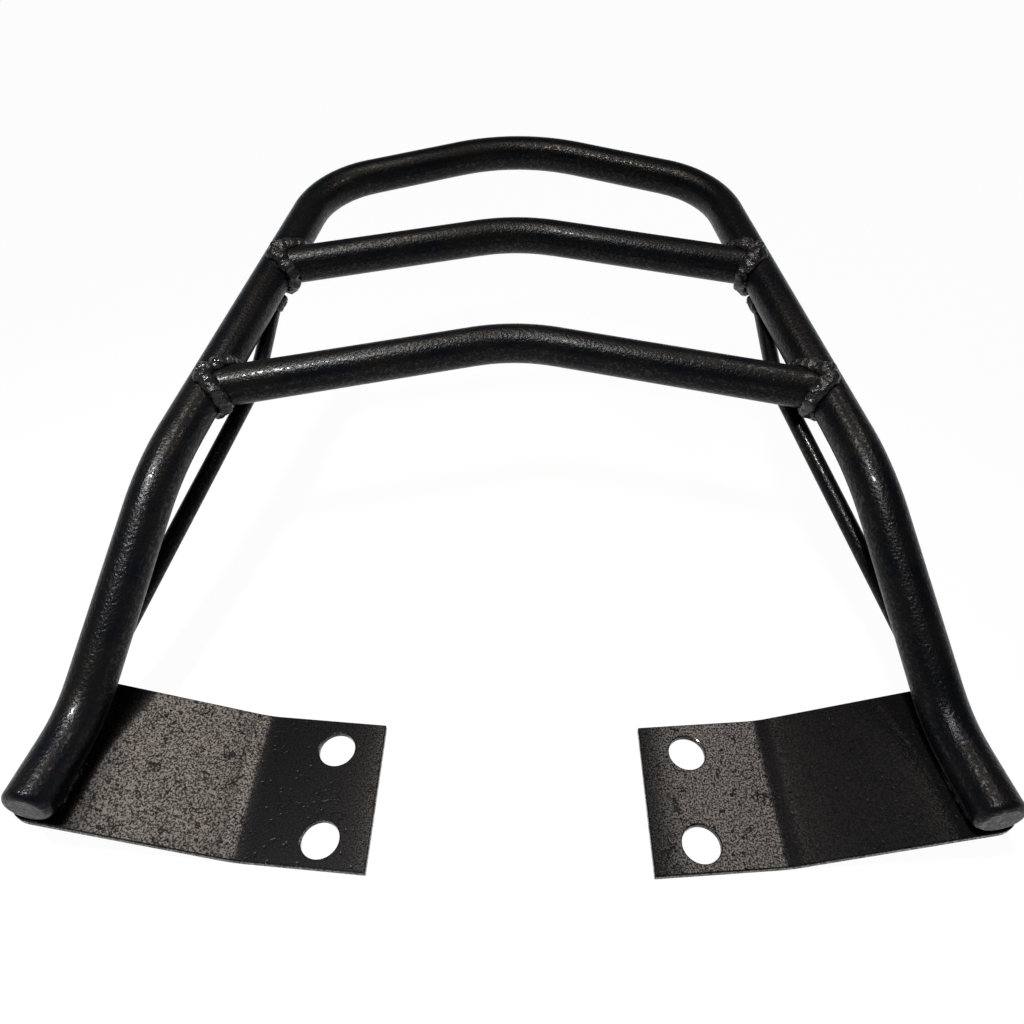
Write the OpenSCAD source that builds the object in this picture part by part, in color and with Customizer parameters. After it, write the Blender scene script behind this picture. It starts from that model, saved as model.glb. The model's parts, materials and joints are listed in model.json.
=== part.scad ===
// Rear luggage rack for a motorcycle.
//
// A single bent tube makes the two feet, the two legs and the hoop of the
// platform. Two kinked crossbars are coped into the hoop, a thin rod braces
// each side from below, and each foot is welded on to a folded steel plate
// with two bolt holes.
//
// +X is the rack's side, +Y points rearwards and +Z points up. The origin is
// the centre of the four bolt holes, on the underside of the plates.

/* [Tube] */
// Outer diameter of the hoop and of the crossbars
tube_d = 19; // [16:0.5:22]
// Wall of the hoop and of the crossbars
tube_wall = 2; // [1.2:0.1:3]
// Diameter of the brace rods
rod_d = 8; // [6:0.5:10]

/* [Platform] */
// Rise of the platform from the knees to the rear, in degrees
platform_rise = 10; // [5:0.5:14]
// Height of the knees above the plates, to the tube's centre line
knee_h = 85.5; // [76:0.5:100]
// Distance from the bolt pattern's centre back to the knees
knee_y = 104.5; // [94:0.5:115]
// Half width of the hoop at the knees, to the centre lines
knee_x = 152; // [144:1:160]
// Length of the hoop's side from the knee to the rear corner
side_len = 219; // [200:1:240]
// Half width of the hoop at the rear corners, to the centre lines
corner_x = 114; // [106:1:122]
// How far the middle of the hoop's rear reaches past its corners
rear_kink = 44; // [30:1:55]
// Centre-line radius of the rear corner bends
corner_r = 50; // [40:1:56]
// Centre-line radius of the bend in the middle of the hoop's rear
rear_kink_r = 100; // [70:1:120]
// Centre-line radius of the knee bends
knee_r = 105; // [70:1:120]

/* [Crossbars] */
// Distance from the knees to the ends of the front crossbar
front_bar_s = 47.5; // [42:0.5:60]
// How far the middle of the front crossbar reaches past its ends
front_bar_kink = 34.5; // [20:0.5:42]
// Distance from the knees to the ends of the rear crossbar
rear_bar_s = 138.5; // [132:0.5:150]
// How far the middle of the rear crossbar reaches past its ends
rear_bar_kink = 31.5; // [20:0.5:40]
// Centre-line radius of the bends in the crossbars
bar_kink_r = 88; // [60:1:110]

/* [Feet] */
// Half width between the feet at their front ends, to the centre lines
foot_end_x = 175; // [170:0.5:180]
// Half width between the feet at their bends, to the centre lines
foot_bend_x = 171.5; // [167:0.5:176]
// How far the feet reach in front of the bolt pattern's centre
foot_front = 17.5; // [14:0.5:22]
// Distance from the bolt pattern's centre back to the foot bends
foot_bend_y = 16.5; // [12:0.5:22]
// Centre-line radius of the foot bends
foot_r = 42; // [30:1:48]
// Thickness of the caps that close the feet
cap_t = 4; // [1.5:0.25:6]

/* [Plates] */
// Thickness of the mounting plates
plate_t = 3; // [2:0.5:5]
// Length of the mounting plates from front to rear
plate_len = 62; // [56:1:70]
// How far the middle of the plates lies behind the middle of their bolt holes
plate_shift = 1; // [-2:0.25:3]
// Distance from the middle of the rack to the plates' inner edges
plate_inner_x = 54.5; // [48:0.5:60]
// Distance from the middle of the rack to the fold in the plates
plate_fold_x = 106; // [98:0.5:114]
// Distance from the middle of the rack to the plates' outer edges
plate_outer_x = 187; // [184:0.5:192]
// Radius of the outer corners of the plates
plate_corner_r = 9; // [3:0.5:14]
// Slope of the plates outside the fold, in degrees
plate_slope = 15; // [8:0.5:20]
// Sweep of the plates' front and rear edges, in degrees
plate_sweep = 4.5; // [0:0.5:6]
// Inside radius of the fold
fold_r = 4; // [2:0.5:8]
// Diameter of the bolt holes
hole_d = 15; // [10:0.5:18]
// Distance between the bolt holes across the rack
hole_gap_x = 148; // [140:1:158]
// Distance between the bolt holes from front to rear
hole_gap_y = 38; // [32:0.5:42]

/* [Braces] */
// Distance from the knees to where the braces touch the hoop
brace_top_s = 122; // [112:1:123]
// Distance from the knees to the bends in the braces
brace_bend_s = 68; // [62:1:76]
// Half width between the bends in the braces
brace_bend_x = 128; // [122:1:131]
// Half width between the braces where they meet the plates
brace_foot_x = 177.5; // [173:0.5:181]
// How far the braces meet the plates in front of the plates' rear edges
brace_foot_y = 12.5; // [9:0.5:16]
// Centre-line radius of the bends in the braces
brace_r = 30; // [16:1:40]

/* [Welds] */
// Radius of the lumps in the weld beads of the crossbars
bead_r = 4; // [3.8:0.1:4.2]
// Lumps in each weld bead of the crossbars
bead_count = 16; // [15:1:17]
// Radius of the lumps in the tack welds of the braces
tack_r = 3.4; // [2.6:0.1:4]
// Height of the weld seams between the feet and the plates
seam_h = 3.5; // [2.5:0.25:4]

/* [Hidden] */
$fn = 64;

// Radii
tube_r = tube_d / 2;
rod_r = rod_d / 2;

// How much thinner the straight stretches of a tube are than its bends, on each
// side, and how far they run on inside the bends
skin = 0.04;
lap = 1;

// Colours of the black paint on tube, on weld metal and on sheet
PAINT = [0.07, 0.07, 0.075];
BEAD_PAINT = [0.11, 0.11, 0.115];
PLATE_PAINT = [0.16, 0.155, 0.15];

// Vectors
function unit(v) = v / norm(v);
function along(a, b, s) = a + unit(b - a) * s;
function mirrored(p) = [-p[0], p[1], p[2]];

// A point on the platform's plane: s runs rearwards from the knees and n is
// the height above the plane
function platform(x, s, n = 0) = [
    x,
    knee_y + s * cos(platform_rise) - n * sin(platform_rise),
    knee_h + s * sin(platform_rise) + n * cos(platform_rise)
];

// Half width of the hoop at the distance s from the knees
function side_x(s) = knee_x + (corner_x - knee_x) * s / side_s;

// The side's length in the platform's plane, without its taper
side_s = sqrt(side_len * side_len - (knee_x - corner_x) * (knee_x - corner_x));

// Height of the upper face of a plate's outer panel, and of a tube on it
function panel_z(x) = plate_t + (x - plate_fold_x) * tan(plate_slope);
function foot_z(x) = panel_z(x) + tube_r / cos(plate_slope);

// Middle of a plate between its front and rear edges, which are swept back
// towards its outer edge from where the bolt holes are
function plate_mid(x) = plate_shift + (x - hole_gap_x / 2) * tan(plate_sweep);

// Corners of the hoop's centre line, from the right foot over the middle of the
// rear and on to the left foot, with the radius of the bend in each
FOOT_END = [foot_end_x, -foot_front, foot_z(foot_end_x)];
FOOT_BEND = [foot_bend_x, foot_bend_y, foot_z(foot_bend_x)];
KNEE = platform(knee_x, 0);
CORNER = platform(corner_x, side_s);
MIDDLE = platform(0, side_s + rear_kink);
HOOP = [
    FOOT_END, FOOT_BEND, KNEE, CORNER, MIDDLE,
    mirrored(CORNER), mirrored(KNEE), mirrored(FOOT_BEND), mirrored(FOOT_END)
];
HOOP_BENDS = [0, foot_r, knee_r, corner_r, rear_kink_r, corner_r, knee_r, foot_r, 0];

// The same for the crossbars, which end on the hoop's own centre line
function bar_line(s, kink) = [
    platform(side_x(s), s), platform(0, s + kink), platform(-side_x(s), s)
];
FRONT_BAR = bar_line(front_bar_s, front_bar_kink);
REAR_BAR = bar_line(rear_bar_s, rear_bar_kink);
BAR_BENDS = [0, bar_kink_r, 0];

// Centre line of a brace: it starts a little behind the place where it touches
// the underside of the hoop and ends below the upper face of its plate
brace_drop = tube_r + rod_r;
brace_past = rod_d;
BRACE_SEAT = platform(side_x(brace_top_s), brace_top_s, -brace_drop);
BRACE_BEND = platform(brace_bend_x, brace_bend_s, -brace_drop);
BRACE_FOOT = [
    brace_foot_x,
    plate_mid(brace_foot_x) + plate_len / 2 - brace_foot_y,
    panel_z(brace_foot_x)
];
BRACE = [
    along(BRACE_SEAT, BRACE_BEND, -brace_past),
    BRACE_BEND,
    along(BRACE_FOOT, BRACE_BEND, -2 * rod_d)
];
BRACE_BENDS = [0, brace_r, 0];

// The angle and the axis of the bend at corner i of a line
function turn(line, i) = acos(unit(line[i] - line[i - 1]) * unit(line[i + 1] - line[i]));
function bend_axis(line, i) = unit(cross(line[i] - line[i - 1], line[i + 1] - line[i]));

// How far the bend at corner i reaches from the corner
function reach(line, bends, i) = bends[i] == 0 ? 0 : bends[i] * tan(turn(line, i) / 2);

// The angle from the axis of one bend to the next, round the stretch between
function roll(line, i) =
    let (
        a = bend_axis(line, i - 1),
        b = bend_axis(line, i),
        u = unit(line[i] - line[i - 1])
    )
    atan2(cross(a, b) * u, a * b);

// Cross-section of a tube of diameter d with the wall w, solid where w is 0
module ring(d, w) {
    difference() {
        circle(d = d);
        if (w > 0) circle(d = d - 2 * w);
    }
}

// Moves on to the end of a bend that turns +Z towards +X
module past_elbow(r, angle) {
    translate([r, 0, 0]) rotate([0, angle, 0]) translate([-r, 0, 0]) children();
}

// A bend of the ring of a tube from +Z towards +X
module elbow(r, angle, d, w) {
    translate([r, 0, 0])
    rotate([90, 0, 180])
    rotate_extrude(angle = angle)
    translate([r, 0])
    ring(d, w);
}

// Stretch of a tube along +Z between two bends. It is thinner than they are by
// the skin, and laps into each of them where lap_0 and lap_1 are more than 0.
module stretch(length, d, w, lap_0, lap_1) {
    translate([0, 0, -lap_0])
    linear_extrude(length + lap_0 + lap_1)
    ring(d - 2 * skin, w > 0 ? w - 2 * skin : 0);
}

// A tube from its stretch i on, along +Z. The bend before it turns about +Y.
module stretches(line, bends, i, d, w) {
    length = norm(line[i + 1] - line[i]) - reach(line, bends, i) - reach(line, bends, i + 1);
    last = i + 2 == len(line);
    stretch(length, d, w, i == 0 ? 0 : lap, last ? 0 : lap);
    if (!last)
        translate([0, 0, length])
        rotate([0, 0, i == 0 ? 0 : roll(line, i + 1)])
        {
            elbow(bends[i + 1], turn(line, i + 1), d, w);
            past_elbow(bends[i + 1], turn(line, i + 1))
            stretches(line, bends, i + 1, d, w);
        }
}

// Tube along a line of corners, with a bend of its own radius in each, and
// solid where the wall w is 0
module tube(line, bends, d, w) {
    z = unit(line[1] - line[0]);
    y = bend_axis(line, 1);
    on_axes(cross(y, z), y, z, line[0]) stretches(line, bends, 0, d, w);
}

// Moves the X, Y and Z axes on to the unit vectors x, y and z at p
module on_axes(x, y, z, p) {
    multmatrix([
        [x[0], y[0], z[0], p[0]],
        [x[1], y[1], z[1], p[1]],
        [x[2], y[2], z[2], p[2]],
        [0, 0, 0, 1]
    ])
    children();
}

// Puts +Z on the line from a towards b, with the origin at a
module from_to(a, b) {
    z = unit(b - a);
    x = unit(cross([0, 0, 1], z));
    on_axes(x, cross(z, x), z, a) children();
}

// Solid round bar from a to b
module bar(a, b, d) {
    from_to(a, b) cylinder(d = d, h = norm(b - a));
}

// Builds on the right (1), or mirrored on the left (-1)
module to_side(side) {
    if (side > 0) children();
    else mirror([1, 0, 0]) children();
}

// The straight stretch of the hoop's right side, as a solid that takes the room
// of the tube where a neighbour is cut to fit it
module side_room() {
    bar(KNEE, CORNER, tube_d);
}

// The room under the upper face of the right plate's outer panel
module panel_room() {
    translate([plate_fold_x, 0, plate_t])
    rotate([0, -plate_slope, 0])
    translate([0, -plate_len, -plate_len])
    cube([2 * plate_len, 2 * plate_len, plate_len]);
}

module hoop_tube() {
    color(PAINT) tube(HOOP, HOOP_BENDS, tube_d, tube_wall);
}

// Crossbar with ends that are coped to the hoop's sides
module crossbar(line) {
    difference() {
        tube(line, BAR_BENDS, tube_d, tube_wall);
        for (side = [1, -1])
            to_side(side) side_room();
    }
}

module front_crossbar() {
    color(PAINT) crossbar(FRONT_BAR);
}

module rear_crossbar() {
    color(PAINT) crossbar(REAR_BAR);
}

// Cap that closes a foot, with a rounded rim
module end_cap(side) {
    rim_r = 3 / 4 * cap_t;
    to_side(side)
    from_to(FOOT_END, along(FOOT_END, FOOT_BEND, -cap_t))
    rotate_extrude()
    union() {
        square([tube_r - rim_r, cap_t]);
        square([tube_r, cap_t - rim_r]);
        intersection() {
            translate([tube_r - rim_r, cap_t - rim_r]) circle(rim_r);
            square([tube_r, cap_t]);
        }
    }
}

module left_end_cap() {
    color(PAINT) end_cap(-1);
}

module right_end_cap() {
    color(PAINT) end_cap(1);
}

// A plate before its front, rear and outer edges are cut: a level tab, a fold and a panel that slopes
// up and out. It is one stretch of sheet, so it is made like a tube, with a
// rectangle in place of the ring.
module sheet() {
    mid_r = fold_r + plate_t / 2;
    half_fold = mid_r * tan(plate_slope / 2);
    fold_x = plate_fold_x + plate_t / 2 * tan(plate_slope / 2);
    wide = 4 * plate_len;
    tab = fold_x - half_fold - plate_inner_x;
    panel = (plate_outer_x + plate_t - fold_x) / cos(plate_slope) - half_fold;
    translate([plate_inner_x, 0, plate_t / 2])
    rotate([0, 90, 0])
    rotate([0, 0, 180])
    {
        sheet_stretch(tab, wide);
        translate([0, 0, tab]) {
            fold(mid_r, wide);
            past_elbow(mid_r, plate_slope) sheet_stretch(panel, wide);
        }
    }
}

module sheet_stretch(length, wide) {
    translate([-plate_t / 2, -wide / 2, 0]) cube([plate_t, wide, length]);
}

// The fold, a sweep of the sheet's section
module fold(r, wide) {
    translate([r, 0, 0])
    rotate([90, 0, 180])
    rotate_extrude(angle = plate_slope)
    translate([r - plate_t / 2, -wide / 2])
    square([plate_t, wide]);
}

// Arc round an outer corner of a plate, which lies in front (-1) or behind (1)
function corner_arc(end, angles) =
    let (
        x = plate_outer_x - plate_corner_r,
        y = plate_mid(x) + end * (plate_len / 2 - plate_corner_r / cos(plate_sweep))
    )
    [for (a = angles) [x + plate_corner_r * cos(a), y + plate_corner_r * sin(a)]];

// Plan of a plate, which runs on past its inner edge
module plate_plan() {
    turns = 8;
    front = 90 - plate_sweep;
    rear = 90 + plate_sweep;
    polygon(concat(
        [[0, plate_mid(0) - plate_len / 2]],
        corner_arc(-1, [for (i = [0:turns]) -front * (1 - i / turns)]),
        corner_arc(1, [for (i = [0:turns]) rear * i / turns]),
        [[0, plate_mid(0) + plate_len / 2]]
    ));
}

module plate(side) {
    to_side(side)
    difference() {
        intersection() {
            sheet();
            translate([0, 0, -plate_t]) linear_extrude(2 * plate_len) plate_plan();
        }
        for (y = [-1, 1])
            translate([hole_gap_x / 2, y * hole_gap_y / 2, -plate_t])
            cylinder(d = hole_d, h = 3 * plate_t);
    }
}

module left_plate() {
    color(PLATE_PAINT) plate(-1);
}

module right_plate() {
    color(PLATE_PAINT) plate(1);
}

// Brace: it lies against the underside of the hoop and is cut to sit on its plate
module brace(side) {
    to_side(side)
    difference() {
        tube(BRACE, BRACE_BENDS, rod_d, 0);
        panel_room();
    }
}

module left_brace() {
    color(PAINT) brace(-1);
}

module right_brace() {
    color(PAINT) brace(1);
}

// Distance from the end of a coped tube to the saddle where it meets the
// hoop's side, at the angle a round the tube. skew is the cosine of the angle
// between them, and square is its sine.
function saddle(a, skew, square) = tube_r * (abs(cos(a)) - cos(a) * skew) / square;

// Weld bead of overlapping lumps round the saddle between a crossbar and the
// right side of the hoop
module bead(line, side) {
    seat = line[0];
    u = unit(line[1] - seat);
    w = unit(CORNER - KNEE);
    n = unit(cross(w, u));
    v = cross(n, u);
    to_side(side)
    difference() {
        for (i = [0:bead_count - 1])
            let (
                a = 360 * (i + 0.5) / bead_count,
                t = saddle(a, v * cross(n, w), u * cross(n, w))
            )
            translate(seat + u * abs(t) + v * tube_r * cos(a) + n * tube_r * sin(a))
            sphere(bead_r);
        side_room();
        bar(seat, line[1], tube_d - 2 * skin);
    }
}

module front_left_bead() {
    color(BEAD_PAINT) bead(FRONT_BAR, -1);
}

module front_right_bead() {
    color(BEAD_PAINT) bead(FRONT_BAR, 1);
}

module rear_left_bead() {
    color(BEAD_PAINT) bead(REAR_BAR, -1);
}

module rear_right_bead() {
    color(BEAD_PAINT) bead(REAR_BAR, 1);
}

// Weld seam in the corner between a foot and its plate, on the inner (1) or
// the outer (-1) side of the foot
module seam(side, face) {
    z = unit(FOOT_BEND - FOOT_END);
    up = [-sin(plate_slope), 0, cos(plate_slope)];
    root_x = tube_r / 3;
    toe_x = sqrt(tube_r * tube_r - pow(tube_r - seam_h, 2));
    margin = 2;
    length = norm(FOOT_BEND - FOOT_END) - reach(HOOP, HOOP_BENDS, 1) - margin;
    to_side(side)
    on_axes(cross(up, z), up, z, FOOT_END)
    translate([0, 0, margin])
    linear_extrude(length)
    mirror([face > 0 ? 0 : 1, 0])
    difference() {
        polygon([
            [root_x, -tube_r],
            [toe_x + seam_h / 3, -tube_r],
            [0.95 * toe_x, seam_h - tube_r],
            [root_x, seam_h - tube_r]
        ]);
        circle(tube_r);
    }
}

module left_inner_seam() {
    color(BEAD_PAINT) seam(-1, 1);
}

module right_inner_seam() {
    color(BEAD_PAINT) seam(1, 1);
}

module left_outer_seam() {
    color(BEAD_PAINT) seam(-1, -1);
}

module right_outer_seam() {
    color(BEAD_PAINT) seam(1, -1);
}

// Row of overlapping weld lumps, centred on the point p along the direction u
module tack(p, u) {
    for (i = [-1, 0, 1])
        translate(p + u * i * tack_r * 0.8) sphere(tack_r);
}

// Tack weld between a brace and the hoop, in the corner on the inner side
module top_tack(side) {
    w = unit(CORNER - KNEE);
    down = unit(BRACE_SEAT - platform(side_x(brace_top_s), brace_top_s));
    inward = unit(cross(w, down));
    to_side(side)
    difference() {
        tack(BRACE_SEAT - down * rod_r + inward * 1.3 * tack_r, w);
        side_room();
        bar(BRACE[0], BRACE_BEND, rod_d);
    }
}

module left_brace_top_tack() {
    color(BEAD_PAINT) top_tack(-1);
}

module right_brace_top_tack() {
    color(BEAD_PAINT) top_tack(1);
}

// Tack weld between a brace and its plate, on the inner side of the brace
module foot_tack(side) {
    u = unit(BRACE_BEND - BRACE_FOOT);
    up = [-sin(plate_slope), 0, cos(plate_slope)];
    inward = unit(cross(up, u));
    to_side(side)
    difference() {
        tack(BRACE_FOOT + inward * rod_r, cross(inward, up));
        panel_room();
        bar(BRACE_BEND, BRACE[2], rod_d);
    }
}

module left_brace_foot_tack() {
    color(BEAD_PAINT) foot_tack(-1);
}

module right_brace_foot_tack() {
    color(BEAD_PAINT) foot_tack(1);
}

hoop_tube();
front_crossbar();
rear_crossbar();
left_plate();
right_plate();
left_brace();
right_brace();
left_end_cap();
right_end_cap();
front_left_bead();
front_right_bead();
rear_left_bead();
rear_right_bead();
left_inner_seam();
right_inner_seam();
left_outer_seam();
right_outer_seam();
left_brace_top_tack();
right_brace_top_tack();
left_brace_foot_tack();
right_brace_foot_tack();
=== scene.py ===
# %% [markdown]
# # Motorcycle luggage rack
# A rack of one bent hoop, two kinked crossbars, two thin braces and two folded
# plates, all steel under black paint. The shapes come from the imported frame, and
# this script gives them their paint, their weld metal, the light and the camera.
# Everything is in metres: +X to the side, +Y rearwards, +Z up, with the origin
# in the middle of the four bolt holes on the underside of the plates.

# %% Load the frame
import json
import math

import bmesh
import bpy
from mathutils import Matrix, Vector, noise


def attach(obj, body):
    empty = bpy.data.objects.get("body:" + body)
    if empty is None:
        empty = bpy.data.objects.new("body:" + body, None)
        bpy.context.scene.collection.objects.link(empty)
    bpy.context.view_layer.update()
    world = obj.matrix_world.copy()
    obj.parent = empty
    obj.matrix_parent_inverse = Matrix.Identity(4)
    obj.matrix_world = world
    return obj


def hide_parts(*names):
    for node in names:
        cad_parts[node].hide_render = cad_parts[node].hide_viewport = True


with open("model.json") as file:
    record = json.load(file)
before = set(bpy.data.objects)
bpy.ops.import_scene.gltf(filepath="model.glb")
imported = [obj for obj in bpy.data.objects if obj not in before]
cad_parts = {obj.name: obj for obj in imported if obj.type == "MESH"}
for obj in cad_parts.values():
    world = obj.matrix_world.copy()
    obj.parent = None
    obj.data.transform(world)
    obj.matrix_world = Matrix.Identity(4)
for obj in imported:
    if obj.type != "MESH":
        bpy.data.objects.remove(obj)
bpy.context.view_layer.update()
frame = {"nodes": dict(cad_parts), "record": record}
nodes = frame["nodes"]

# %% [markdown]
# ## Shader maths as plain expressions
# A procedural paint is mostly arithmetic on coordinates. Wiring Math nodes by
# hand hides that, so a small class wraps a socket and turns +, - and * into
# Math nodes. Its method node() makes any other node, settings first and sockets
# after.


# %% The socket class
class Wire:
    def __init__(self, tree, socket):
        self.tree = tree
        self.socket = socket

    def node(self, kind, settings=None, out=0, **values):
        made = self.tree.nodes.new("ShaderNode" + kind)
        for name, value in (settings or {}).items():
            setattr(made, name, value)
        for name, value in values.items():
            key = int(name[1:]) if name[0] == "_" else name.replace("_", " ")
            connect(self.tree, value, made.inputs[key])
        return Wire(self.tree, made.outputs[out] if len(made.outputs) else None)

    def math(self, operation, *values):
        sockets = {f"_{i}": v for i, v in enumerate(values)}
        return self.node("Math", {"operation": operation}, **sockets)

    def __add__(self, other):
        return self.math("ADD", self, other)

    def __sub__(self, other):
        return self.math("SUBTRACT", self, other)

    def __rsub__(self, other):
        return self.math("SUBTRACT", other, self)

    def __mul__(self, other):
        return self.math("MULTIPLY", self, other)

    __radd__ = __add__

    def ramp(self, low, high):
        """0 below low, 1 above high, smooth between."""
        settings = {"interpolation_type": "SMOOTHSTEP"}
        return self.node("MapRange", settings, Value=self, From_Min=low, From_Max=high)

    def mix(self, a, b):
        """Colour a where this is 0 and colour b where it is 1."""
        settings = {"data_type": "RGBA", "clamp_factor": True}
        return self.node("Mix", settings, out=2, _0=self, _6=a, _7=b)


def connect(tree, value, socket):
    if isinstance(value, Wire):
        tree.links.new(value.socket, socket)
    elif isinstance(value, (tuple, list)) and len(value) == 3 and socket.type == "RGBA":
        socket.default_value = (*value, 1.0)
    else:
        socket.default_value = value


def new_paint(name, **fixed):
    """A material with its shader; fixed holds the numbers that never vary."""
    material = bpy.data.materials.new(name)
    material.use_nodes = True
    tree = material.node_tree
    shader = tree.nodes["Principled BSDF"]
    for key, value in fixed.items():
        connect(tree, value, shader.inputs[key.replace("_", " ")])
    place = tree.nodes.new("ShaderNodeTexCoord")
    return material, shader, Wire(tree, place.outputs["Object"])


def feed(shader, **values):
    for key, value in values.items():
        connect(shader.id_data, value, shader.inputs[key.replace("_", " ")])


print("socket class ready")

# %% [markdown]
# ## Paint on the tubes
# Cheap black enamel on a rack dries with a fine leathery grain, which breaks the
# highlight along each tube into sparks. An image texture would need an
# unwrapped tube, so the grain is built from noises of about a millimetre, read
# from Object coordinates. It is used twice: as a bump that spreads the glow, and
# as the weight of a glossier coat that lies on the crests only, which gives the
# sparks. A slow noise tints the black a little towards blue and brown, and
# changes the gloss.

# %% Paint on the tubes
BLACK_COOL = (0.0017, 0.0019, 0.0032)
BLACK_WARM = (0.0034, 0.0031, 0.0028)
GRAIN = 0.0011
GRAIN_DEPTH = 0.00022
CRESTS = (0.78, 1.04)
MOTTLE = 0.018


def leathery(at, size, detail=2.0):
    """Height of the dried paint's grain, about size across."""
    rough = at.node("TexNoise", Vector=at, Scale=1 / size, Detail=detail, Roughness=0.6)
    cells = at.node("TexVoronoi", {"feature": "SMOOTH_F1"}, Vector=at, Scale=0.8 / size)
    return rough + cells * 0.7


def tube_paint():
    material, shader, at = new_paint("tube_paint", Specular_IOR_Level=0.1, Coat_Roughness=0.2)
    slow = at.node("TexNoise", Vector=at, Scale=1 / MOTTLE, Detail=3.0)
    colour = slow.ramp(0.35, 0.65).mix(BLACK_COOL, BLACK_WARM)
    grain = leathery(at, GRAIN)
    sparks = grain.ramp(*CRESTS) * (0.16 + slow * 0.34)
    bump = at.node("Bump", Strength=1.0, Distance=GRAIN_DEPTH, Height=grain)
    feed(shader, Base_Color=colour, Roughness=0.26 + slow * 0.12, Coat_Weight=sparks, Normal=bump)
    return material


print("tube grain:", GRAIN * 1000, "mm across,", GRAIN_DEPTH * 1000, "mm deep")

# %% [markdown]
# ## Paint on the plates
# The flat plates show what the round tubes hide: the paint went over scaly hot
# rolled sheet, so it is grey-brown in the light, finely speckled, dotted with
# dark pits and marked by the outlines of dried drops. Paint this dark shows its
# marks mostly in what it reflects, so they are cut out of the weight of the
# coat. The pits are the cores of a Voronoi pattern, and the drop marks are level
# lines of a slow noise.

# %% Paint on the plates
SHEET_DARK = (0.0016, 0.0016, 0.0024)
SHEET_LIGHT = (0.0038, 0.0035, 0.0034)
SPECKLE = 0.00075
DOT = 0.0012
PIT = 0.0042
DROP = 0.0078
DROP_LEVEL = 0.64
SCALE_DEPTH = 0.00006


def plate_paint():
    gloss = {"Specular_IOR_Level": 0.04, "Coat_IOR": 1.35, "Coat_Roughness": 0.12}
    material, shader, at = new_paint("plate_paint", **gloss)
    fine = at.node("TexNoise", Vector=at, Scale=1 / SPECKLE, Detail=2.0, Roughness=0.6)
    dots = at.node("TexVoronoi", Vector=at, Scale=1 / DOT).ramp(0.1, 0.45)
    pits = at.node("TexVoronoi", Vector=at, Scale=1 / PIT)
    pit = 1.0 - pits.ramp(0.12, 0.22)
    drops = at.node("TexNoise", Vector=at, Scale=1 / DROP, Detail=1.5)
    off = drops.math("ABSOLUTE", drops - DROP_LEVEL)
    ring = 1.0 - off.ramp(0.006, 0.017)
    marks = pit.math("MINIMUM", pit + ring, 1.0)
    colour = fine.ramp(0.35, 0.65).mix(SHEET_DARK, SHEET_LIGHT)
    shine = (0.05 + dots * fine.ramp(0.4, 0.6) * 1.2) * (1.0 - marks * 0.95)
    bump = at.node("Bump", Strength=1.0, Distance=SCALE_DEPTH, Height=fine - marks * 1.2)
    feed(shader, Base_Color=colour, Roughness=0.3, Coat_Weight=shine, Normal=bump)
    return material


print("plate marks:", [round(size * 1000, 2) for size in (SPECKLE, DOT, PIT, DROP)], "mm")

# %% [markdown]
# ## Paint on the weld metal
# Weld metal is lumpy and the paint runs off its crests, so it is glossier and
# a bit lighter on top. The same grain is used, coarser and deeper.

# %% Paint on the weld metal
WELD_DARK = (0.0020, 0.0021, 0.0028)
WELD_LIGHT = (0.0070, 0.0064, 0.0060)
WELD_GRAIN = 0.0019
WELD_SPECK = 0.0008
WELD_DEPTH = 0.0005


def weld_paint():
    material, shader, at = new_paint("weld_paint", Specular_IOR_Level=0.38)
    lumps = leathery(at, WELD_GRAIN, 3.0)
    fine = at.node("TexNoise", Vector=at, Scale=1 / WELD_SPECK, Detail=2.0)
    colour = lumps.ramp(0.5, 1.2).mix(WELD_DARK, WELD_LIGHT)
    rough = 0.42 - lumps.ramp(0.6, 1.1) * 0.3
    bump = at.node("Bump", Strength=1.0, Distance=WELD_DEPTH, Height=lumps + fine * 0.3)
    feed(shader, Base_Color=colour, Roughness=rough, Normal=bump)
    return material


print("weld grain:", WELD_GRAIN * 1000, "mm across,", WELD_DEPTH * 1000, "mm deep")

# %% [markdown]
# ## Dressing the frame
# The frame's record names a material slot for each node. One material for each
# slot is made once and shared, so a change of paint reaches every piece. The
# alternative, a material for each piece, would let the tubes drift apart.

# %% Dress every node in the paint of its slot
PAINTS = {
    "tube_paint": tube_paint(),
    "weld_paint": weld_paint(),
    "plate_paint": plate_paint(),
}


def dress(piece, slot):
    piece.data.materials.clear()
    piece.data.materials.append(PAINTS[slot])


for part in frame["record"]["subparts"]:
    dress(nodes[part["node"]], part["material_slot"])

# %% [markdown]
# ## Weld metal
# The frame's weld beads are neat rings of equal balls. Real beads were laid by
# hand in a few strokes: the lumps run into each other, sag and carry spatter. A
# sculpt would do it, but a rule in code gives the same result on each run: the
# balls are fused by a voxel remesh, smoothed, and pushed about by two noises.
# Each piece stands for its node, which stays in the frame for collision.


# %% Weld metal
def merged_copy(node):
    """The node's shape as a bmesh with its loose triangles joined."""
    mesh = bmesh.new()
    mesh.from_mesh(nodes[node].data)
    bmesh.ops.remove_doubles(mesh, verts=mesh.verts, dist=1e-6)
    return mesh


def as_piece(mesh, name, node, slot):
    data = bpy.data.meshes.new(name)
    mesh.to_mesh(data)
    mesh.free()
    piece = bpy.data.objects.new(name, data)
    bpy.context.scene.collection.objects.link(piece)
    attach(piece, "root")
    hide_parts(node)
    data.materials.append(PAINTS[slot])
    return piece


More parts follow.
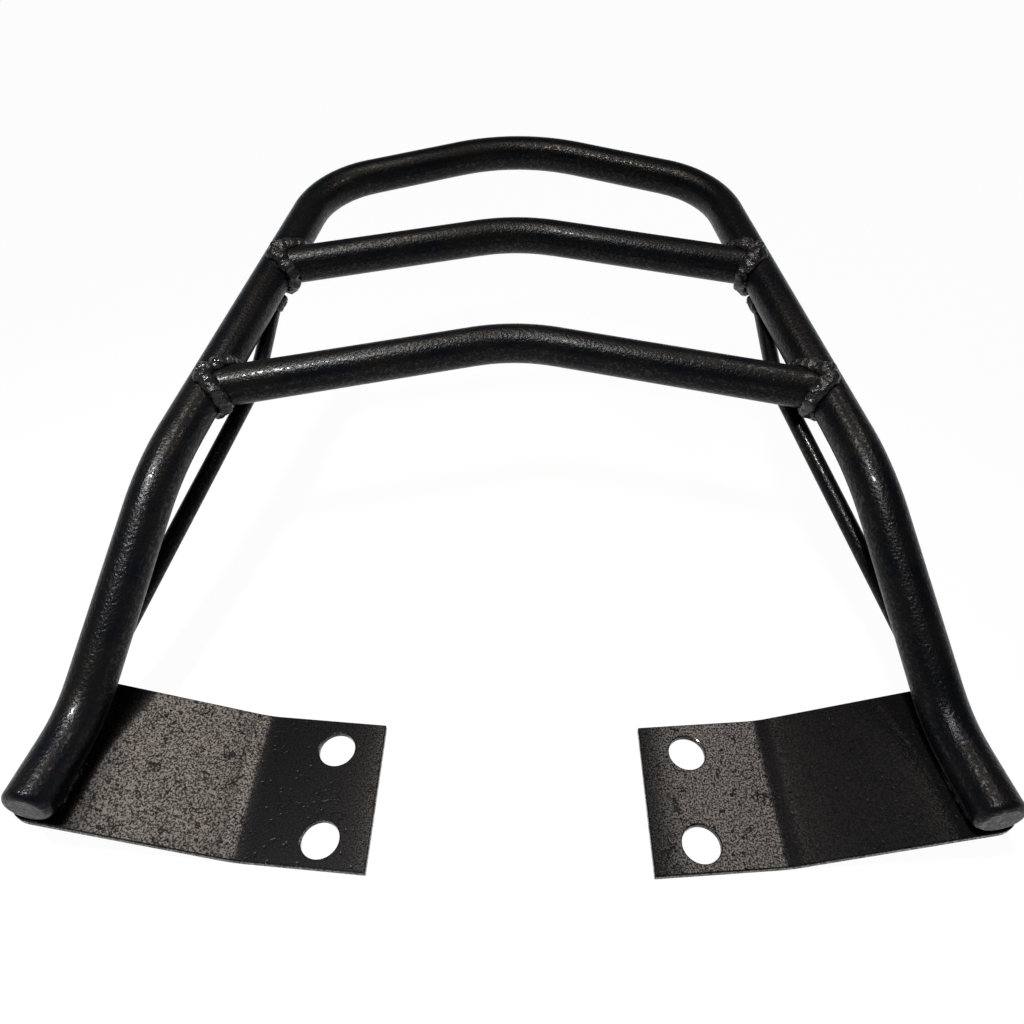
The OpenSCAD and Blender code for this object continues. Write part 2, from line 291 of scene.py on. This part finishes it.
def remeshed(mesh, voxel):
    """The bmesh after a voxel remesh, which fuses what overlaps."""
    data = bpy.data.meshes.new("before_remesh")
    mesh.to_mesh(data)
    mesh.free()
    holder = bpy.data.objects.new("before_remesh", data)
    bpy.context.scene.collection.objects.link(holder)
    change = holder.modifiers.new("voxels", "REMESH")
    change.mode = "VOXEL"
    change.voxel_size = voxel
    graph = bpy.context.evaluated_depsgraph_get()
    fused = bmesh.new()
    fused.from_mesh(holder.evaluated_get(graph).to_mesh())
    bpy.data.objects.remove(holder)
    return fused


ALL_AXES = {"use_axis_x": True, "use_axis_y": True, "use_axis_z": True}
ROUNDS = 3
SMALL_LUMP = 0.38
ELSEWHERE = Vector((7, 3, 5))


def laid_by_hand(node, voxel, swell, lump, fat):
    """Weld metal with its balls fused, grown by fat and uneven by about swell."""
    mesh = remeshed(merged_copy(node), voxel)
    for _ in range(ROUNDS):
        bmesh.ops.smooth_vert(mesh, verts=mesh.verts, factor=0.5, **ALL_AXES)
    mesh.normal_update()
    moves = []
    for v in mesh.verts:
        big = noise.noise(v.co / lump)
        small = noise.noise(v.co / (lump * SMALL_LUMP) + ELSEWHERE)
        moves.append(v.normal * (fat + swell * (big + 0.45 * small)))
    for v, move in zip(mesh.verts, moves):
        v.co += move
    for face in mesh.faces:
        face.smooth = True
    return as_piece(mesh, node + "_weld", node, "weld_paint")


WELDS = {
    "bead": (0.0006, 0.0013, 0.0042, 0.0008),
    "seam": (0.0004, 0.0006, 0.0030, 0.0),
    "tack": (0.0004, 0.0006, 0.0025, 0.0),
}
for node in sorted(nodes):
    kind = node.rsplit("_", 1)[1]
    if kind in WELDS:
        piece = laid_by_hand(node, *WELDS[kind])
        print(piece.name, len(piece.data.polygons), "faces")

# %% [markdown]
# ## Plates with worn edges
# Sheared sheet has a hair of rounding on its edges, which catches the light as a
# thin line, and a press brake leaves a fold that fades into the flats. The
# frame's plates are sharp, so a merged copy of each gets its flat faces back by
# a limited dissolve. Plane cuts then divide it across the fold, and its points
# are put on a parabola between the two flats. One more cut runs through the
# middles of both holes, so that no face has a hole in it and every edge meets a
# rim squarely. The left plate is the mirror of the right one. A narrow Bevel
# modifier rounds the outline.


# %% Plates
# Where the crease of each face lies, and the height of the flat tab there
UPPER = (0.1060, 0.003)
LOWER = (0.1064, 0.0)
FOLD_HALF = 0.0055
FOLD_CUTS = 14
SLOPE = math.tan(math.radians(15))
HOLE_X = frame["record"]["mounts"][0]["dims"]["spacing_x_mm"] / 2000


def faded(x, z):
    """Height at x on the plate's upper or lower face, whichever is nearer to z."""
    heights = []
    for crease, level in (UPPER, LOWER):
        over = min(max(x - crease, -FOLD_HALF), FOLD_HALF) + FOLD_HALF
        rise = over * over / (4 * FOLD_HALF) + max(0.0, x - crease - FOLD_HALF)
        heights.append(level + SLOPE * rise)
    return min(heights, key=lambda height: abs(height - z))


def flats_joined(mesh, degrees):
    """Join faces that differ by less than this, but never across a seam."""
    reach = {"verts": mesh.verts, "edges": mesh.edges}
    bmesh.ops.dissolve_limit(mesh, angle_limit=math.radians(degrees), delimit={"SEAM"}, **reach)


SNAP = 5e-5
WELD_UP = 1.5e-4
FLAT_BEFORE = 0.3
FLAT_AFTER = 0.8


def cut_at(mesh, x):
    """Cut the mesh square to X and mark the cut as a seam."""
    parts = mesh.verts[:] + mesh.edges[:] + mesh.faces[:]
    place = {"plane_co": (x, 0, 0), "plane_no": (1, 0, 0)}
    made = bmesh.ops.bisect_plane(mesh, geom=parts, dist=SNAP, **place)
    for item in made["geom_cut"]:
        if isinstance(item, bmesh.types.BMEdge):
            item.seam = True


EDGE = 0.0005
EDGE_ANGLE = math.radians(40)


def softened_plate(node, side):
    """The right plate with a faded fold and worn edges, mirrored for the left."""
    mesh = merged_copy("right_plate")
    flats_joined(mesh, FLAT_BEFORE)
    cut_at(mesh, HOLE_X)
    for i in range(FOLD_CUTS + 1):
        cut_at(mesh, UPPER[0] + FOLD_HALF * (2 * i / FOLD_CUTS - 1))
    bmesh.ops.remove_doubles(mesh, verts=mesh.verts, dist=WELD_UP)
    for v in mesh.verts:
        v.co.z = faded(v.co.x, v.co.z)
    mesh.normal_update()
    flats_joined(mesh, FLAT_AFTER)
    if side < 0:
        for v in mesh.verts:
            v.co.x = -v.co.x
        bmesh.ops.reverse_faces(mesh, faces=mesh.faces[:])
    for face in mesh.faces:
        face.smooth = False
    piece = as_piece(mesh, node + "_sheet", node, "plate_paint")
    # The frame's own normals would outlive the new faces, so they go
    old_normals = piece.data.attributes.get("custom_normal")
    if old_normals:
        piece.data.attributes.remove(old_normals)
    edge = piece.modifiers.new("edge", "BEVEL")
    edge.width = EDGE
    edge.segments = 2
    edge.limit_method = "ANGLE"
    edge.angle_limit = EDGE_ANGLE
    return piece


for node, side in (("left_plate", -1), ("right_plate", 1)):
    piece = softened_plate(node, side)
    print(piece.name, len(piece.data.polygons), "faces before the bevel")

# %% [markdown]
# ## Floor
# A pale floor under the rack carries its shadow. Most of its white is seen by
# camera, glossy and clear rays only, through Light Path, so that it looks white
# without throwing more light on to the black paint.

# %% Floor
FLOOR_HALF = 6.0
SEEN_WHITE = 0.97


def pale_floor():
    mesh = bmesh.new()
    bmesh.ops.create_grid(mesh, x_segments=1, y_segments=1, size=FLOOR_HALF)
    data = bpy.data.meshes.new("floor")
    mesh.to_mesh(data)
    mesh.free()
    floor = bpy.data.objects.new("floor", data)
    bpy.context.scene.collection.objects.link(floor)
    material = bpy.data.materials.new("floor_white")
    material.use_nodes = True
    tree = material.node_tree
    tree.nodes.clear()
    wire = Wire(tree, None)
    matt = wire.node("BsdfDiffuse", Color=(0.85, 0.85, 0.85))
    white = wire.node("Emission", Color=(1.0, 1.0, 1.0), Strength=1.0)
    seen = seen_rays(tree) * SEEN_WHITE
    both = wire.node("MixShader", _0=seen, _1=matt, _2=white)
    wire.node("OutputMaterial", Surface=both)
    data.materials.append(material)
    return floor


def seen_rays(tree):
    """1 for the rays that see the background: camera, glossy and clear ones."""
    path = tree.nodes.new("ShaderNodeLightPath")
    rays = [Wire(tree, path.outputs[f"Is {k} Ray"]) for k in ("Camera", "Glossy", "Transmission")]
    total = rays[0] + rays[1] + rays[2]
    return total.math("MINIMUM", total, 1.0)


pale_floor()
print("floor half size:", FLOOR_HALF, "m")

# %% [markdown]
# ## Light
# The photograph's highlights are narrow streaks along the tubes and an even
# glow on two flats of the plates. A small ceiling lamp with a narrow spread
# gives the streaks. The glow is a mirror image, so two window-like lamps hang
# where the left panel and the right tab would mirror them, and the other flats
# mirror the gap between them. A world that is dim overhead and brighter at the
# horizon fills the shadows.

# %% World
HORIZON = 0.45
OVERHEAD = 0.06

world = bpy.data.worlds.new("studio")
world.use_nodes = True
bpy.context.scene.world = world
sky = world.node_tree.nodes["Background"]
sky.inputs["Color"].default_value = (0.82, 0.9, 1.0, 1.0)
way = Wire(world.node_tree, world.node_tree.nodes.new("ShaderNodeTexCoord").outputs["Generated"])
height = way.node("SeparateXYZ", out=2, Vector=way)
strength = HORIZON - height.ramp(0.0, 0.5) * (HORIZON - OVERHEAD)
connect(world.node_tree, strength, sky.inputs["Strength"])


# %% [markdown]
# ## Lamps
# An area lamp's spread narrows its light to a cone, which also makes it far
# brighter inside the cone, so the ceiling lamp needs only two watts. The windows
# face straight down and are hidden from the camera, as all three lamps are.

# %% Lamps
CEILING_SPREAD = math.radians(44)


def lamp(name, place, size, watts, colour, target=None):
    data = bpy.data.lights.new(name, "AREA")
    data.shape = "RECTANGLE"
    data.size, data.size_y = size
    data.energy = watts
    data.color = colour
    made = bpy.data.objects.new(name, data)
    made.location = place
    if target:
        made.rotation_euler = (Vector(target) - Vector(place)).to_track_quat("-Z", "Y").to_euler()
    made.visible_camera = False
    bpy.context.scene.collection.objects.link(made)
    return data


ceiling = lamp("ceiling_lamp", (-0.25, -0.05, 1.2), (0.1, 0.1), 2.0, (1.0, 1.0, 1.0), (-0.1, -0.04, 0.03))
ceiling.spread = CEILING_SPREAD
lamp("left_window", (-0.0915, 0.295, 0.6), (0.147, 0.25), 1.09, (1.0, 0.88, 0.76))
lamp("right_window", (0.247, 0.29, 0.6), (0.13, 0.24), 0.72, (1.0, 0.90, 0.80))

# %% [markdown]
# ## Camera
# The camera stands in front of the plates and looks rearwards and steeply down.
# Its place, tilt and lens come from a fit of the rack's tubes and holes to the
# photograph.

# %% Camera
EYE = (0.0038, -0.1402, 0.2999)
TILT_DOWN = math.radians(44.35)
TURN_LEFT = math.radians(1.05)
ROLL_RIGHT = math.radians(0.38)
LENS = 760 / 1024 * 36

eye_data = bpy.data.cameras.new("camera")
eye_data.sensor_width = 36
eye_data.lens = LENS
eye_data.clip_start = 0.01
eye = bpy.data.objects.new("camera", eye_data)
turn = Matrix.Rotation(TURN_LEFT, 4, "Z")
tilt = Matrix.Rotation(math.pi / 2 - TILT_DOWN, 4, "X")
roll = Matrix.Rotation(-ROLL_RIGHT, 4, "Z")
eye.matrix_world = Matrix.Translation(EYE) @ turn @ tilt @ roll
bpy.context.scene.collection.objects.link(eye)
bpy.context.scene.camera = eye
bpy.context.scene.view_settings.view_transform = "Standard"
print("lens:", round(LENS, 2), "mm")
